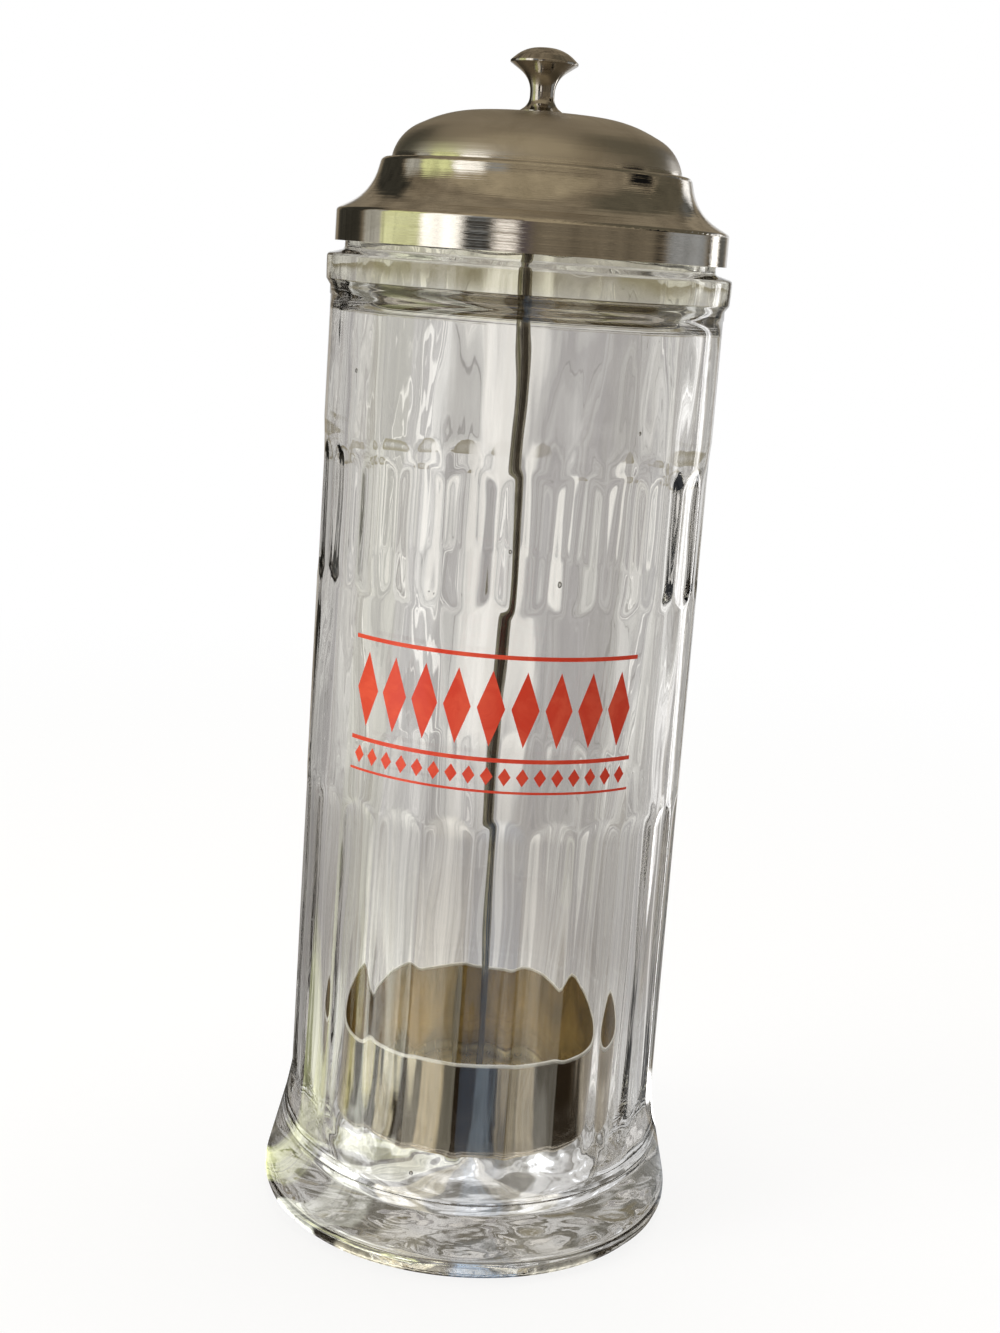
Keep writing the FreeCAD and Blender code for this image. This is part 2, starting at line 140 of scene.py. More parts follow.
# Radius, height, rounding and its segments, from the hollow under the foot round
# the outside to the lip and down the bore.
JAR_SECTION = (
    (0, KICK, 0, 0), (CONTACT_INNER - 0.8, KICK, 2.0, 4), (CONTACT_INNER, 0, 0, 0),
    (CONTACT, 0, 0, 0), (HEEL, HEEL_TOP, 0, 0), (FOOT, 4.2, 3.0, 3), (FOOT, 7.2, 12.0, 4),
    (BODY, LOWER_FLUTES[0], 50.0, 14), (BODY, LOWER_FLUTES[0] + ARCH, 0, 0),
    (BODY, LOWER_FLUTES[1] - ARCH, 0, 0), (BODY, LOWER_FLUTES[1] + 1, 0, 0),
    (BODY, UPPER_FLUTES[0] - 1, 0, 0), (BODY, UPPER_FLUTES[0] + ARCH, 0, 0),
    (BODY, UPPER_FLUTES[1] - ARCH, 0, 0), (BODY, UPPER_FLUTES[1] + 1, 0, 0),
    (BAND, UPPER_FLUTES[1] + 6, 0, 0), (BAND, COLLAR_BOTTOM, 0, 0),
    (COLLAR, COLLAR_BOTTOM, 0, 0), (COLLAR, COLLAR_TOP, 0, 0), (BEAD - 0.2, BEAD_BOTTOM, 0.8, 3),
    (BEAD, BEAD_TOP, 0.8, 4), (NECK, NECK_ROOT, 0.8, 4), (NECK, JAR_TOP, 0.6, 4),
    (BORE, JAR_TOP, 1.0, 5), (BORE_FLOOR, FLOOR, 10.0, 12), (0, FLOOR, 0, 0),
)


def jar_step(r, z):
    """Row spacing of the jar: close at the arches, wide on the plain stretches."""
    on_floor, on_bore, on_arch, elsewhere = 2.2, 4.8, 0.75, 4.0
    if r < BORE_FLOOR - 0.1 and z < FLOOR + 3:
        return on_floor
    if r < BORE + 1:
        return on_bore
    for low, high in (LOWER_FLUTES, UPPER_FLUTES):
        if low - 6 < z < low + ARCH or high - ARCH < z < high + 1:
            return on_arch
    return elsewhere


def flute_cut(angle, z):
    """Radius at which a flute meets the glass, at an angle from the flute's own middle."""
    untouched = 1000.0
    line = BODY - FLUTE_DEPTH + FLUTE_HOLLOW
    run = math.sqrt(2 * FLUTE_RUNOUT * FLUTE_DEPTH - FLUTE_DEPTH ** 2)
    reach = run * 1.7
    for low, high in (LOWER_FLUTES, UPPER_FLUTES):
        beyond = max(low + run - z, z - high + run, 0)
        if beyond < reach:
            hollow = FLUTE_HOLLOW - FLUTE_RUNOUT + math.sqrt(FLUTE_RUNOUT ** 2 - beyond ** 2)
            across = hollow ** 2 - (line * math.sin(angle)) ** 2
            if across > 0:
                return line * math.cos(angle) - math.sqrt(across)
    return untouched


def polar(vert):
    """Distance from the axis and height of a vertex, in mm."""
    return math.hypot(vert.co.x, vert.co.y) / MM, vert.co.z / MM


def widen(vert, scale):
    """Scale a vertex's distance from the axis."""
    vert.co.x *= scale
    vert.co.y *= scale


def carve_flutes(bm):
    """Sink the flutes into the body, with soft ribs between them and an uneven depth."""
    pitch = 2 * math.pi / FLUTES
    for vert in bm.verts:
        r, z = polar(vert)
        if r > BODY - 1.5 and LOWER_FLUTES[0] - 10.2 < z < UPPER_FLUTES[1] + 3.5:
            angle = math.atan2(vert.co.y, vert.co.x) % pitch - pitch / 2
            cut = r - flute_cut(angle, z)
            if cut > -2:
                cut = (cut + math.sqrt(cut ** 2 + RIB_SOFTNESS ** 2)) / 2
                cut *= 0.88 + 0.5 * noise.noise(vert.co / (25 * MM))
                widen(vert, (r - cut) / r)


def hollow_wave(x, y, edge):
    """Lift of the hollow's ceiling, fading over the last 5 mm before its edge."""
    return 0.5 * noise.noise(Vector((x / 11, y / 11, 7.7))) * min(1, edge / 5)


def floor_dimples(x, y, edge):
    """Lift of the bore's floor, fading over the last 6 mm before its edge."""
    dimple = noise.noise(Vector((x / 9, y / 9, 4.2)))
    fine = noise.noise(Vector((x / 4, y / 4, 1.3)))
    return (0.55 * dimple + 0.14 * fine) * min(1, max(0, edge / 6))


def bore_wave(x, y, z):
    """Uneven bore: it waves more towards the top and runs true just under the lip."""
    fade = min(1, max(0, (JAR_TOP - 1.6 - z) / 6))
    upper = min(1, max(0, (z - 120) / 90))
    wave = noise.noise(Vector((x / 8.5, y / 8.5, z / 70)))
    swell = noise.noise(Vector((x / 21 + 9, y / 21, z / 34)))
    lump = noise.noise(Vector((x / 8, y / 8 + 3, z / 15)))
    return fade * ((1 + 0.7 * upper) * (0.13 * wave + 0.30 * swell) + upper * 0.13 * lump)


def ripple(bm):
    """The wavy inside that pressed glass keeps, and a little of it outside."""
    inner = BORE + 1
    hollow_edge = 44
    floor_edge = 41
    body_end, bead_start, bead_end = 231, 232, 250
    for vert in bm.verts:
        r, z = polar(vert)
        if r < 1 or z < KICK - 0.5:
            continue
        x, y = vert.co.x / MM, vert.co.y / MM
        if z < KICK + 0.5 and r < hollow_edge:
            vert.co.z += MM * hollow_wave(x, y, hollow_edge - r)
            continue
        if r < inner and z > FLOOR - 1:
            shift = bore_wave(x, y, z)
            if z < FLOOR + 10:
                vert.co.z += MM * floor_dimples(x, y, floor_edge - r)
        elif FLOOR < z < body_end:
            shift = 0.06 * noise.noise(Vector((x / 11 + 5, y / 11, z / 60)))
        elif bead_start < z < bead_end and r > inner:
            lump = noise.noise(Vector((x / 7, y / 7, z / 5)))
            shift = 0.16 * lump * min(1, (bead_end - z) / 3)
        else:
            continue
        widen(vert, (r + shift) / r)


def foot_notches(bm):
    """Fine notches in the bevelled ring that the jar stands on."""
    for vert in bm.verts:
        r, z = polar(vert)
        if CONTACT + 0.1 < r < HEEL - 0.02 and 0.1 < z < HEEL_TOP - 0.05:
            angle = math.atan2(vert.co.y, vert.co.x)
            widen(vert, 1 - NOTCH_DEPTH / r * (1 - math.cos(NOTCHES * angle)))


def seeds(bm):
    """A few small bubbles inside the wall: degrees round, height, radius and stretch."""
    places = ((4.0, 178.0, 0.42, 1.3), (19.0, 171.0, 0.55, 1.5), (-31.0, 139.0, 0.35, 1.8),
              (118.0, 92.0, 0.45, 1.4), (203.0, 150.0, 0.50, 1.2), (262.0, 70.0, 0.40, 1.6),
              (41.0, 206.0, 0.35, 1.5), (-52.0, 215.0, 0.45, 1.3), (-12.0, 24.0, 0.5, 1.2))
    wall_middle, flare_middle = 44.9, 46.5
    for turned, z, size, tall in places:
        angle = math.radians(turned - 90)
        radius = wall_middle if z > LOWER_FLUTES[0] + 10 else flare_middle
        place = Vector((radius * math.cos(angle), radius * math.sin(angle), z)) * MM
        stretch = Matrix.Diagonal((1, 1, tall, 1))
        made = bmesh.ops.create_icosphere(bm, subdivisions=2, radius=size * MM,
                                          matrix=Matrix.Translation(place) @ stretch)
        faces = {face for vert in made["verts"] for face in vert.link_faces}
        bmesh.ops.reverse_faces(bm, faces=list(faces))


def refine_heel(bm):
    """Rows close enough for the notches."""
    edges = [edge for edge in bm.edges
             if all(CONTACT - 0.1 < vert.co.x / MM < HEEL + 0.1 and vert.co.z < 2.1 * MM
                    for vert in edge.verts)]
    bmesh.ops.subdivide_edges(bm, edges=edges, cuts=4)


def glass_jar(material):
    """The whole jar, in place of its plain solid."""
    bm = section(JAR_SECTION)
    refine(bm, jar_step)
    refine_heel(bm)
    turn(bm, ROUND_STEPS)
    carve_flutes(bm)
    ripple(bm)
    foot_notches(bm)
    seeds(bm)
    jar = piece_from(bm, "pressed_glass_jar", material, "jar")
    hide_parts("glass_jar")


# ---------------------------------------------------------------- printed ornament

STRIPES = ((153.4, 154.4), (129.0, 130.0), (121.6, 122.2))
STRIPE_HALF = 36.5
PRINT_THICKNESS = 0.09
PRINT_TURN = 1.9
# How many lozenges stand each side of the middle one, their pitch, height, width and length.
LOZENGES = ((4, 8.0, 141.7, 6.6, 18.0), (8, 4.2, 125.6, 3.0, 4.4))
# What reaches further across than this is cut, so that it bends round the glass.
LONGEST_FLAT = 3.2


def wrap(bm, radius, turned):
    """Roll a flat sheet, drawn across X and up Z in mm, onto the glass."""
    for vert in bm.verts:
        angle = math.radians(turned - 90) + vert.co.x / radius
        vert.co = Vector((radius * MM * math.cos(angle), radius * MM * math.sin(angle),
                          vert.co.z * MM))


def lozenge(bm, x, z, wide, tall):
    """A flat diamond."""
    made = bmesh.ops.create_circle(bm, cap_ends=True, segments=4, radius=1,
                                   matrix=Matrix.Translation((x, 0, z))
                                   @ Matrix.Diagonal((wide / 2, 1, tall / 2, 1))
                                   @ Matrix.Rotation(math.pi / 2, 4, "X"))
    faces = list({face for vert in made["verts"] for face in vert.link_faces})
    bmesh.ops.triangulate(bm, faces=faces)


def stripe(bm, low, high, half_width):
    """A flat line across, cut fine enough to bend round the glass."""
    bmesh.ops.create_grid(bm, x_segments=90, y_segments=1, size=1,
                          matrix=Matrix.Translation((0, 0, (low + high) / 2))
                          @ Matrix.Diagonal((half_width, 1, (high - low) / 2, 1))
                          @ Matrix.Rotation(math.pi / 2, 4, "X"))


def printed_band(material):
    """Three lines with two rows of lozenges between them, on the plain band."""
    bm = bmesh.new()
    for low, high in STRIPES:
        stripe(bm, low, high, STRIPE_HALF)
    for each_side, pitch, middle, wide, tall in LOZENGES:
        for index in range(-each_side, each_side + 1):
            lozenge(bm, index * pitch, middle, wide, tall)
    cut = [edge for edge in bm.edges
           if abs(edge.verts[0].co.x - edge.verts[1].co.x) > LONGEST_FLAT]
    bmesh.ops.subdivide_edges(bm, edges=cut, cuts=3, use_grid_fill=True)
    wrap(bm, BODY + PRINT_THICKNESS, PRINT_TURN)
    bmesh.ops.recalc_face_normals(bm, faces=bm.faces)
    for face in bm.faces:
        middle = face.calc_center_median()
        if face.normal.dot(Vector((middle.x, middle.y, 0))) < 0:
            face.normal_flip()
    piece_from(bm, "printed_ornament", material, "jar")


# ---------------------------------------------------------------- shader helpers

def calculate(nodes, links, operation, first, second=None):
    """One sum, of sockets or numbers."""
    node = nodes.new("ShaderNodeMath")
    node.operation = operation
    for socket, value in zip(node.inputs, (first, second)):
        if value is None:
            continue
        if isinstance(value, (int, float)):
            socket.default_value = value
        else:
            links.new(value, socket)
    return node.outputs[0]


def spread(nodes, links, value, low, high, to_low=0.0, to_high=1.0):
    """Ease a value from one range into another."""
    node = nodes.new("ShaderNodeMapRange")
    node.interpolation_type = "SMOOTHSTEP"
    links.new(value, node.inputs["Value"])
    for name, number in (("From Min", low), ("From Max", high),
                         ("To Min", to_low), ("To Max", to_high)):
        node.inputs[name].default_value = number
    return node.outputs["Result"]


def blend_colour(nodes, links, factor, first, second):
    """Goes from the first colour to the second as the factor goes from 0 to 1."""
    node = nodes.new("ShaderNodeMix")
    node.data_type = "RGBA"
    factor_in, first_in, second_in = node.inputs[0], node.inputs[6], node.inputs[7]
    for socket, value in ((factor_in, factor), (first_in, first), (second_in, second)):
        if isinstance(value, tuple):
            socket.default_value = (*value, 1)
        elif isinstance(value, (int, float)):
            socket.default_value = value
        else:
            links.new(value, socket)
    return node.outputs[2]


def stretched_noise(nodes, links, where, scale, detail=3.0, roughness=0.5, distortion=0.0):
    """Noise with its own scale along each axis; a large scale is fine grain."""
    mapping = nodes.new("ShaderNodeMapping")
    mapping.inputs["Scale"].default_value = scale
    links.new(where, mapping.inputs["Vector"])
    node = nodes.new("ShaderNodeTexNoise")
    node.inputs["Scale"].default_value = 1.0
    node.inputs["Detail"].default_value = detail
    node.inputs["Roughness"].default_value = roughness
    node.inputs["Distortion"].default_value = distortion
    links.new(mapping.outputs["Vector"], node.inputs["Vector"])
    return node.outputs["Fac"]


def object_place(nodes):
    return nodes.new("ShaderNodeTexCoord").outputs["Object"]


def from_axis(nodes, links, where):
    """Sockets for the distance from the upright axis and for the height."""
    split = nodes.new("ShaderNodeSeparateXYZ")
    links.new(where, split.inputs[0])
    x, y, z = split.outputs
    squares = calculate(nodes, links, "ADD", calculate(nodes, links, "POWER", x, 2.0),
                        calculate(nodes, links, "POWER", y, 2.0))
    return calculate(nodes, links, "SQRT", squares), z


def raise_surface(nodes, links, height, strength, distance):
    """Bumped normal from a height."""
    node = nodes.new("ShaderNodeBump")
    node.inputs["Strength"].default_value = strength
    node.inputs["Distance"].default_value = distance
    links.new(height, node.inputs["Height"])
    return node.outputs["Normal"]


def new_group(name, inputs, outputs):
    """Empty shader group with named (name, kind, value) sockets."""
    tree = bpy.data.node_groups.new(name, "ShaderNodeTree")
    for label, kind, value in inputs:
        socket = tree.interface.new_socket(label, in_out="INPUT", socket_type=kind)
        if value is not None:
            socket.default_value = value
    for label, kind in outputs:
        tree.interface.new_socket(label, in_out="OUTPUT", socket_type=kind)
    entry = tree.nodes.new("NodeGroupInput")
    leave = tree.nodes.new("NodeGroupOutput")
    return tree, entry, leave


def place_group(nodes, tree, **values):
    """Outputs of a group's new node; each keyword is an input, with _ for a space."""
    node = nodes.new("ShaderNodeGroup")
    node.node_tree = tree
    for name, value in values.items():
        node.inputs[name.replace("_", " ")].default_value = value
    return node.outputs


def turned_lines_group():
    """Fine rings left by spinning or turning: they run round the axis everywhere."""
    tree, entry, leave = new_group(
        "turned_lines", [("Lines per metre", "NodeSocketFloat", 1500.0)],
        [("Height", "NodeSocketFloat")])
    nodes, links = tree.nodes, tree.links
    radius, height = from_axis(nodes, links, object_place(nodes))
    across = nodes.new("ShaderNodeCombineXYZ")
    links.new(radius, across.inputs[0])
    links.new(height, across.inputs[1])
    noise_node = nodes.new("ShaderNodeTexNoise")
    noise_node.inputs["Detail"].default_value = 4.0
    noise_node.inputs["Roughness"].default_value = 0.65
    links.new(entry.outputs[0], noise_node.inputs["Scale"])
    links.new(across.outputs[0], noise_node.inputs["Vector"])
    links.new(noise_node.outputs["Fac"], leave.inputs[0])
    return tree


def smears_group():
    """Cloudy marks of handling, from 0 where clean to 1 where dull."""
    tree, entry, leave = new_group(
        "handling_smears", [("Patches per metre", "NodeSocketFloat", 60.0)],
        [("Mask", "NodeSocketFloat")])
    nodes, links = tree.nodes, tree.links
    noise_node = nodes.new("ShaderNodeTexNoise")
    noise_node.inputs["Detail"].default_value = 6.0
    noise_node.inputs["Roughness"].default_value = 0.62
    noise_node.inputs["Distortion"].default_value = 0.8
    links.new(entry.outputs[0], noise_node.inputs["Scale"])
    links.new(object_place(nodes), noise_node.inputs["Vector"])
    links.new(spread(nodes, links, noise_node.outputs["Fac"], 0.42, 0.68), leave.inputs[0])
    return tree


# ---------------------------------------------------------------- materials

def new_material(name):
    material = bpy.data.materials.new(name)
    material.use_nodes = True
    nodes = material.node_tree.nodes
    return material, nodes, material.node_tree.links, nodes["Principled BSDF"]


def clear_glass():
    """Pressed glass, faintly grey with streaks drawn out along its height; at the bead it is
    painted darker and olive, a painted shade for the dark room it reflects.

    Shadow rays pass straight through, so the glass casts a light shadow.
    """
    material, nodes, links, shader = new_material("clear_pressed_glass")
    where = object_place(nodes)
    streaks = stretched_noise(nodes, links, where, (130, 130, 9), 3.0, 0.55, 0.6)
    plain = blend_colour(nodes, links, spread(nodes, links, streaks, 0.36, 0.66),
                         (0.87, 0.86, 0.85), (0.96, 0.955, 0.945))
    height = from_axis(nodes, links, where)[1]
    # Painted shade: the glass at the bead is tinted darker and olive, for the dark room that it
    # reflects and bends there.
    bead = spread(nodes, links, height, 0.234, 0.2375)
    links.new(blend_colour(nodes, links, bead, plain, (0.85, 0.835, 0.755)),
              shader.inputs["Base Color"])
    smears = stretched_noise(nodes, links, where, (60, 60, 22), 4.0)
    links.new(spread(nodes, links, smears, 0.5, 0.8, 0.0, 0.012), shader.inputs["Roughness"])
    skin = stretched_noise(nodes, links, where, (150, 150, 24), 2.0)
    links.new(raise_surface(nodes, links, skin, 0.12, 0.0005), shader.inputs["Normal"])
    shader.inputs["IOR"].default_value = 1.5
    shader.inputs["Transmission Weight"].default_value = 1.0
    clear = nodes.new("ShaderNodeBsdfTransparent")
    clear.inputs["Color"].default_value = (0.86, 0.85, 0.85, 1)
    path = nodes.new("ShaderNodeLightPath")
    mix = nodes.new("ShaderNodeMixShader")
    links.new(path.outputs["Is Shadow Ray"], mix.inputs[0])
    links.new(shader.outputs[0], mix.inputs[1])
    links.new(clear.outputs[0], mix.inputs[2])
    output = nodes["Material Output"]
    links.new(mix.outputs[0], output.inputs["Surface"])
    depth = nodes.new("ShaderNodeVolumeAbsorption")
    depth.inputs["Color"].default_value = (0.50, 0.47, 0.44, 1)
    depth.inputs["Density"].default_value = 9.0
    links.new(depth.outputs[0], output.inputs["Volume"])
    return material


def lid_plate(lines, smears):
    """Polished plate on spun sheet: the dome keeps a satin bloom, the rest is bright."""
    material, nodes, links, shader = new_material("lid_plate")
    dull = place_group(nodes, smears, Patches_per_metre=55.0)["Mask"]
    height = from_axis(nodes, links, object_place(nodes))[1]
    dome = spread(nodes, links, height, 0.2645, 0.2660)
    links.new(blend_colour(nodes, links, dull, (0.68, 0.635, 0.57), (0.60, 0.555, 0.49)),
              shader.inputs["Base Color"])
    shader.inputs["Metallic"].default_value = 1.0
    satin = calculate(nodes, links, "ADD", spread(nodes, links, dull, 0, 1, 0.035, 0.08),
                      calculate(nodes, links, "MULTIPLY", dome, 0.27))
    links.new(satin, shader.inputs["Roughness"])
    rings = place_group(nodes, lines, Lines_per_metre=1300.0)["Height"]
    links.new(raise_surface(nodes, links, rings, 0.30, 0.0002), shader.inputs["Normal"])
    return material


def knob_plate(lines, smears):
    """Bright plate on the turned knob."""
    material, nodes, links, shader = new_material("knob_plate")
    dull = place_group(nodes, smears, Patches_per_metre=160.0)["Mask"]
    links.new(blend_colour(nodes, links, dull, (0.52, 0.48, 0.425), (0.40, 0.37, 0.325)),
              shader.inputs["Base Color"])
    shader.inputs["Metallic"].default_value = 1.0
    links.new(spread(nodes, links, dull, 0, 1, 0.03, 0.09), shader.inputs["Roughness"])
    rings = place_group(nodes, lines, Lines_per_metre=3000.0)["Height"]
    links.new(raise_surface(nodes, links, rings, 0.15, 0.0001), shader.inputs["Normal"])
    return material


def rod_steel(smears):
    """Drawn rod: lines along its length, threads cut at both ends."""
    material, nodes, links, shader = new_material("rod_steel")
    where = object_place(nodes)
    drawn = stretched_noise(nodes, links, where, (3200, 3200, 30), 3.0)
    dull = place_group(nodes, smears, Patches_per_metre=90.0)["Mask"]
    links.new(blend_colour(nodes, links, dull, (0.40, 0.37, 0.30), (0.26, 0.24, 0.19)),
              shader.inputs["Base Color"])
    shader.inputs["Metallic"].default_value = 1.0
    links.new(spread(nodes, links, drawn, 0.3, 0.7, 0.10, 0.22), shader.inputs["Roughness"])
    height = from_axis(nodes, links, where)[1]
    thread_pitch = 0.7 * MM
    turns = calculate(nodes, links, "SINE", calculate(nodes, links, "MULTIPLY", height,
                                                      2 * math.pi / thread_pitch))
    lower = spread(nodes, links, height, 0.0300, 0.0302, 1.0, 0.0)
    upper = spread(nodes, links, height, 0.2690, 0.2692)
    ends = calculate(nodes, links, "ADD", lower, upper)
    relief = calculate(nodes, links, "ADD", calculate(nodes, links, "MULTIPLY", turns, ends),
                       calculate(nodes, links, "MULTIPLY", drawn, 0.25))
    links.new(raise_surface(nodes, links, relief, 0.5, 0.00015), shader.inputs["Normal"])
    return material


def cup_plate(lines, smears):
    """Nickel-bright outside; the drawn inside is satin and brassy; the cut rim and the underside
    are painted near white as painted highlights, the rim with a little wear.
    """
    material, nodes, links, shader = new_material("cup_plate")
    dull = place_group(nodes, smears, Patches_per_metre=70.0)["Mask"]
    radius, height = from_axis(nodes, links, object_place(nodes))
    inner = spread(nodes, links, radius, CUP_INSIDE - 0.0001, CUP_INSIDE + 0.0001, 1.0, 0.0)
    above = spread(nodes, links, height, CUP_FLOOR - 0.0005, CUP_FLOOR - 0.0002)
    within = calculate(nodes, links, "MULTIPLY", inner, above)
    outside = blend_colour(nodes, links, dull, (0.56, 0.50, 0.41), (0.44, 0.39, 0.31))
    tarnish = place_group(nodes, smears, Patches_per_metre=26.0)["Mask"]
    inside = blend_colour(nodes, links, tarnish, (0.88, 0.72, 0.36), (0.40, 0.325, 0.17))
    # Painted highlight: the rim is near white and mostly not metallic, so that it shows as a
    # bright line; the smears on it are wear.
    rim = spread(nodes, links, height, CUP_RIM - 0.0009, CUP_RIM - 0.0005)
    rim_highlight_and_wear = blend_colour(nodes, links, dull, (0.98, 0.97, 0.90), (0.80, 0.76, 0.62))
    colour = blend_colour(nodes, links, within, outside, inside)
    # Painted highlight: the underside is near white, so that it shows bright through the glass
    # floor.
    beneath = spread(nodes, links, height, CUP_BOTTOM + 0.0002, CUP_BOTTOM + 0.0004, 1.0, 0.0)
    colour = blend_colour(nodes, links, beneath, colour, (0.92, 0.91, 0.87))
    links.new(blend_colour(nodes, links, rim, colour, rim_highlight_and_wear), shader.inputs["Base Color"])
    lacquer_and_rim_highlight = calculate(nodes, links, "MAXIMUM", calculate(nodes, links, "MULTIPLY", rim, 0.85),
                        calculate(nodes, links, "MULTIPLY", within, 0.30))
    links.new(calculate(nodes, links, "SUBTRACT", 1.0, lacquer_and_rim_highlight), shader.inputs["Metallic"])
    satin = calculate(nodes, links, "ADD", spread(nodes, links, dull, 0, 1, 0.03, 0.08),
                      calculate(nodes, links, "MULTIPLY", within, 0.22))
    links.new(satin, shader.inputs["Roughness"])
    rings = place_group(nodes, lines, Lines_per_metre=900.0)["Height"]
    links.new(raise_surface(nodes, links, rings, 0.25, 0.00015), shader.inputs["Normal"])
    return material


def fastener_steel(lines, smears):
    """Plated nuts and washers, a little grubby."""
    material, nodes, links, shader = new_material("fastener_steel")
    dull = place_group(nodes, smears, Patches_per_metre=300.0)["Mask"]
    links.new(blend_colour(nodes, links, dull, (0.60, 0.58, 0.54), (0.40, 0.38, 0.34)),
              shader.inputs["Base Color"])
    shader.inputs["Metallic"].default_value = 1.0
    links.new(spread(nodes, links, dull, 0, 1, 0.16, 0.34), shader.inputs["Roughness"])
    rings = place_group(nodes, lines, Lines_per_metre=2600.0)["Height"]
    links.new(raise_surface(nodes, links, rings, 0.4, 0.0001), shader.inputs["Normal"])
    return material


def red_print(smears):
    """Fired enamel, a little thinner in places."""
    material, nodes, links, shader = new_material("red_print")
    thin = place_group(nodes, smears, Patches_per_metre=120.0)["Mask"]
    links.new(blend_colour(nodes, links, thin, (0.68, 0.042, 0.014), (0.76, 0.078, 0.030)),
              shader.inputs["Base Color"])
    links.new(spread(nodes, links, thin, 0, 1, 0.30, 0.45), shader.inputs["Roughness"])
    grain = stretched_noise(nodes, links, object_place(nodes), (900, 900, 900), 2.0)
    links.new(raise_surface(nodes, links, grain, 0.2, 0.0001), shader.inputs["Normal"])
    return material


# ---------------------------------------------------------------- studio

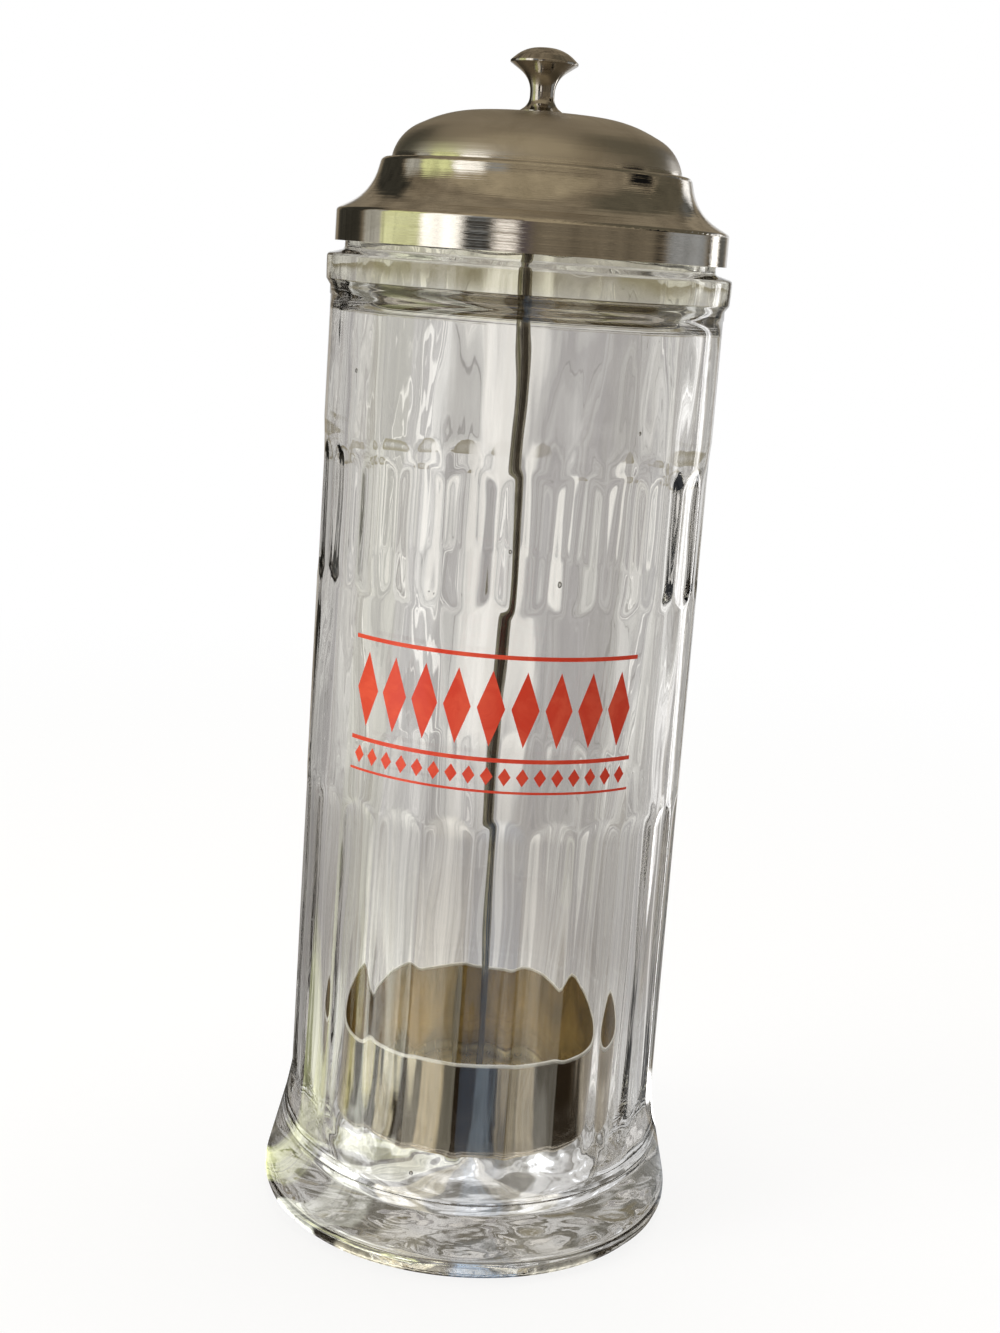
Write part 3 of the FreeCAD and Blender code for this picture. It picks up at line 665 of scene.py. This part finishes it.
def room_group():
    """What stands round the jar, for mirrors, and what the glass shows of it from behind.

    Azimuth is counted in degrees from the camera's side, aside from straight behind
    the jar; both grow towards +X. Far, Near, Close and Under say which ring of the
    floor is looked at: the horizon, beside the jar, in front of it and below it.
    """
    tree, entry, leave = new_group(
        "studio_room",
        [("Direction", "NodeSocketVector", None), ("Far", "NodeSocketFloat", 1.0),
         ("Near", "NodeSocketFloat", 0.0), ("Close", "NodeSocketFloat", 0.0),
         ("Under", "NodeSocketFloat", 0.0)],
        [("Mirrored", "NodeSocketColor"), ("Behind glass", "NodeSocketColor"),
         ("Ahead", "NodeSocketFloat")])
    nodes, links = tree.nodes, tree.links
    level = nodes.new("ShaderNodeVectorMath")
    level.operation = "NORMALIZE"
    links.new(entry.outputs["Direction"], level.inputs[0])
    direction = level.outputs[0]
    split = nodes.new("ShaderNodeSeparateXYZ")
    links.new(direction, split.inputs[0])
    x, y, z = split.outputs
    azimuth = calculate(nodes, links, "ARCTAN2", x, calculate(nodes, links, "MULTIPLY", y, -1.0))
    aside = calculate(nodes, links, "ARCTAN2", x, y)
    height = calculate(nodes, links, "ARCSINE", z)

    def between(value, low, high, soft):
        rise = spread(nodes, links, value, math.radians(low - soft), math.radians(low + soft))
        fall = spread(nodes, links, value, math.radians(high - soft), math.radians(high + soft),
                      1.0, 0.0)
        return calculate(nodes, links, "MULTIPLY", rise, fall)

    mottle = stretched_noise(nodes, links, direction, (5, 5, 3), 2.0)
    room = blend_colour(nodes, links, spread(nodes, links, mottle, 0.35, 0.65),
                        (0.23, 0.19, 0.135), (0.36, 0.305, 0.22))
    # What turns, from and to in degrees, its lowest and highest elevation, edge, light.
    screens = (
        (azimuth, -75, 50, 30, 95, 15, (0.48, 0.41, 0.285)),
        (azimuth, 75, 150, 12, 70, 12, (0.14, 0.125, 0.09)),
        (azimuth, -150, -112, -60, 40, 4, (0.05, 0.047, 0.037)),
        (azimuth, -109, -92, -60, 26, 2.5, (0.55, 0.55, 0.50)),
        (azimuth, -92, -63, -60, 33, 2.5, (0.98, 1.04, 0.54)),
        (azimuth, -92, -63, -60, 4, 2.5, (1.05, 1.10, 0.68)),
        (azimuth, -62, -37, -60, 33, 2, (1.8, 1.8, 1.75)),
        (azimuth, -62, -37, -60, 4, 2, (2.1, 2.1, 2.05)),
        (azimuth, -35, -19, 3, 30, 3, (0.34, 0.37, 0.40)),
        (azimuth, -36, -18, -60, 3, 2, (0.02, 0.02, 0.02)),
        (azimuth, -17, -5, -60, 2, 1.5, (1.9, 1.86, 1.82)),
        (azimuth, -4, 3, -60, 20, 2, (0.13, 0.11, 0.12)),
        (azimuth, 4, 79, -60, 4, 2, (0.20, 0.17, 0.125)),
        (azimuth, 74, 104, 9, 34, 0.8, (0.46, 0.39, 0.28)),
        (azimuth, 77, 101, 13, 30, 0.5, (0.01, 0.01, 0.01)),
        (azimuth, 79, 85, -60, 2, 1.5, (0.02, 0.02, 0.02)),
        (azimuth, 88, 124, -60, 8, 3, (0.40, 0.42, 0.44)),
        (azimuth, 128, 133, -60, 12, 1, (0.03, 0.03, 0.03)),
        (azimuth, 133, 141, -60, 3, 1, (4.5, 4.5, 4.5)),
        (azimuth, 143, 158, -60, 30, 3, (0.14, 0.14, 0.13)),
        (azimuth, 141, 156, 5, 17, 1, (1.5, 1.5, 1.5)),
        (aside, -17, 17, -60, 10, 5, (0.90, 0.90, 0.90)),
    )
    for turn, low, high, under, over, soft, light in screens:
        mask = calculate(nodes, links, "MULTIPLY", between(turn, low, high, soft),
                         between(height, under, over, 4 if soft >= 1 else 1))
        room = blend_colour(nodes, links, mask, room, light)
    # Painted reflections: to mirrors, the floor just in front of the jar is a dark table with
    # glowing strips, which the cup shows as dark with bright stripes.
    close = entry.outputs["Close"]
    painted_reflection_strips = (
        (-110, 75, 8, (0.045, 0.035, 0.022)), (-100, -79, 2, (2.2, 2.3, 1.2)),
        (-66, -44, 1.5, (4.2, 4.3, 3.7)), (-34, -12, 1.5, (2.7, 2.5, 1.9)),
        (2, 21, 1.5, (0.55, 0.76, 1.05)), (25, 46, 2, (1.9, 1.8, 1.5)),
    )
    for low, high, soft, light in painted_reflection_strips:
        mask = calculate(nodes, links, "MULTIPLY", between(azimuth, low, high, soft), close)
        room = blend_colour(nodes, links, mask, room, light)
    leaves = stretched_noise(nodes, links, direction, (19, 19, 11), 4.0, 0.6, 0.8)
    panes = spread(nodes, links, leaves, 0.34, 0.58, 0.45, 1.05)
    scaled = nodes.new("ShaderNodeVectorMath")
    scaled.operation = "SCALE"
    links.new(room, scaled.inputs[0])
    links.new(panes, scaled.inputs["Scale"])
    links.new(scaled.outputs[0], leave.inputs["Mirrored"])

    # What the glass shows of the room from behind: pale, with upright streaks and threads.
    streaks = stretched_noise(nodes, links, direction, (13, 13, 2.2), 4.0, 0.6, 0.7)
    haze = blend_colour(nodes, links, spread(nodes, links, streaks, 0.41, 0.59),
                        (0.58, 0.565, 0.555), (0.94, 0.935, 0.895))
    threads = stretched_noise(nodes, links, direction, (75, 75, 4), 2.0, 0.5, 1.2)
    haze = blend_colour(nodes, links, spread(nodes, links, threads, 0.60, 0.67, 0.0, 0.85),
                        haze, (1.30, 1.29, 1.24))
    haze = blend_colour(nodes, links, spread(nodes, links, threads, 0.33, 0.39, 0.6, 0.0),
                        haze, (0.22, 0.205, 0.19))
    shaded = calculate(nodes, links, "SUBTRACT", 0.92, calculate(
        nodes, links, "MULTIPLY", between(height, 1, 9, 1.5), 0.86))
    horizon = calculate(nodes, links, "MULTIPLY", entry.outputs["Far"], shaded)
    haze = blend_colour(nodes, links, horizon, haze, (0.33, 0.29, 0.185))
    bands = ((-6.6, -2.8, 0.8, 0.9, (1.15, 1.13, 1.07)),
             (-2.4, 4.5, 1.2, 0.55, (0.46, 0.44, 0.445)))
    for low, high, soft, weight, light in bands:
        mask = calculate(nodes, links, "MULTIPLY", between(aside, low, high, soft), weight)
        haze = blend_colour(nodes, links, mask, haze, light)
    # Painted shadow: the ring of floor beside the jar is greyed where the glass shows it.
    beside = calculate(nodes, links, "MULTIPLY", entry.outputs["Near"], 0.62)
    haze = blend_colour(nodes, links, beside, haze, (0.42, 0.40, 0.385))
    # Overhead, the broken light that the foot bends towards the eye.
    clouds = stretched_noise(nodes, links, direction, (3.5, 3.5, 3.5), 1.0)
    lofty = blend_colour(nodes, links, spread(nodes, links, clouds, 0.38, 0.62),
                         (0.30, 0.29, 0.25), (1.10, 1.11, 1.10))
    haze = blend_colour(nodes, links, between(height, 16, 100, 4), haze, lofty)
    # The lit patch of table below the jar.
    pools = stretched_noise(nodes, links, entry.outputs["Direction"], (75, 75, 75), 3.0, 0.55, 1.0)
    silver = blend_colour(nodes, links, spread(nodes, links, pools, 0.40, 0.58),
                          (0.30, 0.29, 0.265), (1.05, 1.06, 1.07))
    silver = blend_colour(nodes, links, spread(nodes, links, pools, 0.62, 0.68), silver,
                          (2.1, 2.2, 2.35))
    ahead = spread(nodes, links, y, -0.25, 0.05, 1.0, 0.0)
    links.new(ahead, leave.inputs["Ahead"])
    # In front, the glass shows what mirrors show, with less colour.
    grey = nodes.new("ShaderNodeRGBToBW")
    links.new(scaled.outputs[0], grey.inputs[0])
    muted = blend_colour(nodes, links, 0.65, scaled.outputs[0], grey.outputs[0])
    haze = blend_colour(nodes, links, ahead, haze, muted)
    haze = blend_colour(nodes, links, entry.outputs["Under"], haze, silver)
    links.new(haze, leave.inputs["Behind glass"])
    return tree


def surroundings(nodes, links, room, direction, spared):
    """White to the camera, the room to mirrors, its paler back to glass, and painted shade on what
    the metal inside the jar mirrors.

    Where spared is 1, what the metal in the jar mirrors isn't dimmed. The colour, the
    light path and the room's own node come back.
    """
    walls_met = 3.5
    node = nodes.new("ShaderNodeGroup")
    node.node_tree = room
    links.new(direction, node.inputs["Direction"])
    path = nodes.new("ShaderNodeLightPath")
    mirrored = calculate(nodes, links, "MINIMUM", path.outputs["Glossy Depth"], 1.0)
    walled = calculate(nodes, links, "GREATER_THAN", path.outputs["Transmission Depth"], walls_met)
    within = calculate(nodes, links, "MULTIPLY", calculate(
        nodes, links, "MULTIPLY", mirrored, walled), node.outputs["Ahead"])
    within = calculate(nodes, links, "MULTIPLY", within,
                       calculate(nodes, links, "SUBTRACT", 1.0, spared))
    haze_share = 0.84
    unmirrored = calculate(nodes, links, "SUBTRACT", haze_share, calculate(
        nodes, links, "MULTIPLY", within, haze_share))
    through = calculate(nodes, links, "MULTIPLY", path.outputs["Is Transmission Ray"],
                        unmirrored)
    colour = blend_colour(nodes, links, through, node.outputs["Mirrored"],
                          node.outputs["Behind glass"])
    # Painted shade: what the metal inside the jar mirrors through its walls is darkened towards
    # dark brown.
    colour = blend_colour(nodes, links, calculate(nodes, links, "MULTIPLY", within, 0.72),
                          colour, (0.035, 0.025, 0.017))
    colour = blend_colour(nodes, links, path.outputs["Is Camera Ray"], colour, (1.0, 1.0, 1.0))
    return colour, path, node


def studio_world(room):
    world = bpy.data.worlds.new("studio")
    bpy.context.scene.world = world
    world.use_nodes = True
    nodes, links = world.node_tree.nodes, world.node_tree.links
    direction = nodes.new("ShaderNodeTexCoord").outputs["Generated"]
    height = from_axis(nodes, links, direction)[1]
    raised = spread(nodes, links, height, 0.02, 0.07)
    colour = surroundings(nodes, links, room, direction, raised)[0]
    links.new(colour, nodes["Background"].inputs["Color"])


def pale_floor(room):
    """Plain white floor that keeps the jar's shadow and fades into the white distance."""
    material, nodes, links, shader = new_material("pale_floor")
    where = object_place(nodes)
    fibres = stretched_noise(nodes, links, where, (300, 300, 300), 3.0)
    links.new(blend_colour(nodes, links, fibres, (0.87, 0.87, 0.87), (0.90, 0.90, 0.90)),
              shader.inputs["Base Color"])
    shader.inputs["Roughness"].default_value = 0.9
    radius = from_axis(nodes, links, where)[0]
    under = spread(nodes, links, radius, 0.048, 0.060, 1.0, 0.0)
    colour, path, node = surroundings(nodes, links, room, where, under)
    links.new(under, node.inputs["Under"])
    glow = nodes.new("ShaderNodeEmission")
    links.new(colour, glow.inputs["Color"])
    links.new(spread(nodes, links, radius, 8.5, 11.8), node.inputs["Far"])
    # Painted shadow: the ring of floor beside the jar, which the glass shows grey.
    dim = calculate(nodes, links, "MULTIPLY", spread(nodes, links, radius, 0.12, 0.20),
                    spread(nodes, links, radius, 0.26, 0.60, 1.0, 0.0))
    links.new(dim, node.inputs["Near"])
    links.new(spread(nodes, links, radius, 0.25, 0.45, 1.0, 0.0), node.inputs["Close"])
    far = spread(nodes, links, radius, 0.20, 0.8, 0.80, 1.0)
    # Mirrors and glass see only glow here: the room's colours, with their painted reflections,
    # painted shade and painted light; the camera sees mostly white glow over the lit floor, which
    # keeps the shadow.
    seen = calculate(nodes, links, "MAXIMUM", path.outputs["Is Glossy Ray"],
                     path.outputs["Is Transmission Ray"])
    share = calculate(nodes, links, "MAXIMUM", seen,
                      calculate(nodes, links, "MULTIPLY", path.outputs["Is Camera Ray"], far))
    mix = nodes.new("ShaderNodeMixShader")
    links.new(share, mix.inputs[0])
    links.new(shader.outputs[0], mix.inputs[1])
    links.new(glow.outputs[0], mix.inputs[2])
    links.new(mix.outputs[0], nodes["Material Output"].inputs["Surface"])
    return material


def floor(material):
    """A wide disc, just below the foot."""
    bm = bmesh.new()
    bmesh.ops.create_circle(bm, cap_ends=True, segments=64, radius=12,
                            matrix=Matrix.Translation((0, 0, -0.4 * MM)))
    mesh = bpy.data.meshes.new("floor")
    bm.to_mesh(mesh)
    bm.free()
    piece = bpy.data.objects.new("floor", mesh)
    bpy.context.scene.collection.objects.link(piece)
    mesh.materials.append(material)


def softbox(name, place, target, size, power):
    """Soft lamp that lights the jar and isn't itself mirrored."""
    data = bpy.data.lights.new(name, "AREA")
    data.shape = "RECTANGLE"
    data.size, data.size_y = size
    data.energy = power
    light = bpy.data.objects.new(name, data)
    bpy.context.scene.collection.objects.link(light)
    light.location = place
    light.rotation_euler = (Vector(target) - Vector(place)).to_track_quat("-Z", "Y").to_euler()
    light.visible_glossy = False
    light.visible_transmission = False


def camera():
    """Looks slightly down on the jar, from a little to its right, and leans to one side."""
    focal, picture_height, film = 1973.1, 1333, 36
    pitch, yaw, roll = 0.2072, 0.002, 0.0062
    place = Vector((-1.17, -489.4, 244.6)) * MM
    lean = math.radians(4.5)
    forward = Vector((math.sin(yaw) * math.cos(pitch), math.cos(yaw) * math.cos(pitch),
                      -math.sin(pitch)))
    right0 = Vector((math.cos(yaw), -math.sin(yaw), 0))
    down0 = forward.cross(right0)
    right = math.cos(roll) * right0 + math.sin(roll) * down0
    down = -math.sin(roll) * right0 + math.cos(roll) * down0
    right, down = (math.cos(lean) * right - math.sin(lean) * down,
                   math.sin(lean) * right + math.cos(lean) * down)
    turned = Matrix.Rotation(math.radians(3.9), 4, "Z")
    axes = Matrix((right, -down, -forward)).transposed().to_4x4()
    data = bpy.data.cameras.new("camera")
    data.sensor_width = film
    data.lens = focal * film / picture_height
    data.clip_start = 0.01
    view = bpy.data.objects.new("camera", data)
    bpy.context.scene.collection.objects.link(view)
    view.matrix_world = turned @ Matrix.Translation(place) @ axes
    bpy.context.scene.camera = view


# ---------------------------------------------------------------- putting it together

lines = turned_lines_group()
smears = smears_group()
glass_jar(clear_glass())
printed_band(red_print(smears))
fasteners = fastener_steel(lines, smears)
finishes = {"lid_shell": lid_plate(lines, smears), "lift_knob": knob_plate(lines, smears),
            "lift_rod": rod_steel(smears), "straw_cup": cup_plate(lines, smears)}
for node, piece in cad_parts.items():
    if node != "glass_jar":
        piece.material_slots[0].material = finishes.get(node, fasteners)

room = room_group()
studio_world(room)
floor(pale_floor(room))
softbox("overhead_softbox", (0.1, 0.2, 1.3), (0, 0.1, 0), (0.9, 0.9), 14)
softbox("left_softbox", (-1.0, -0.6, 0.8), (0, 0, 0.15), (0.5, 0.9), 8)
camera()

scene = bpy.context.scene
scene.view_settings.view_transform = "Standard"
scene.cycles.max_bounces = 32
scene.cycles.transmission_bounces = 24
scene.cycles.glossy_bounces = 24
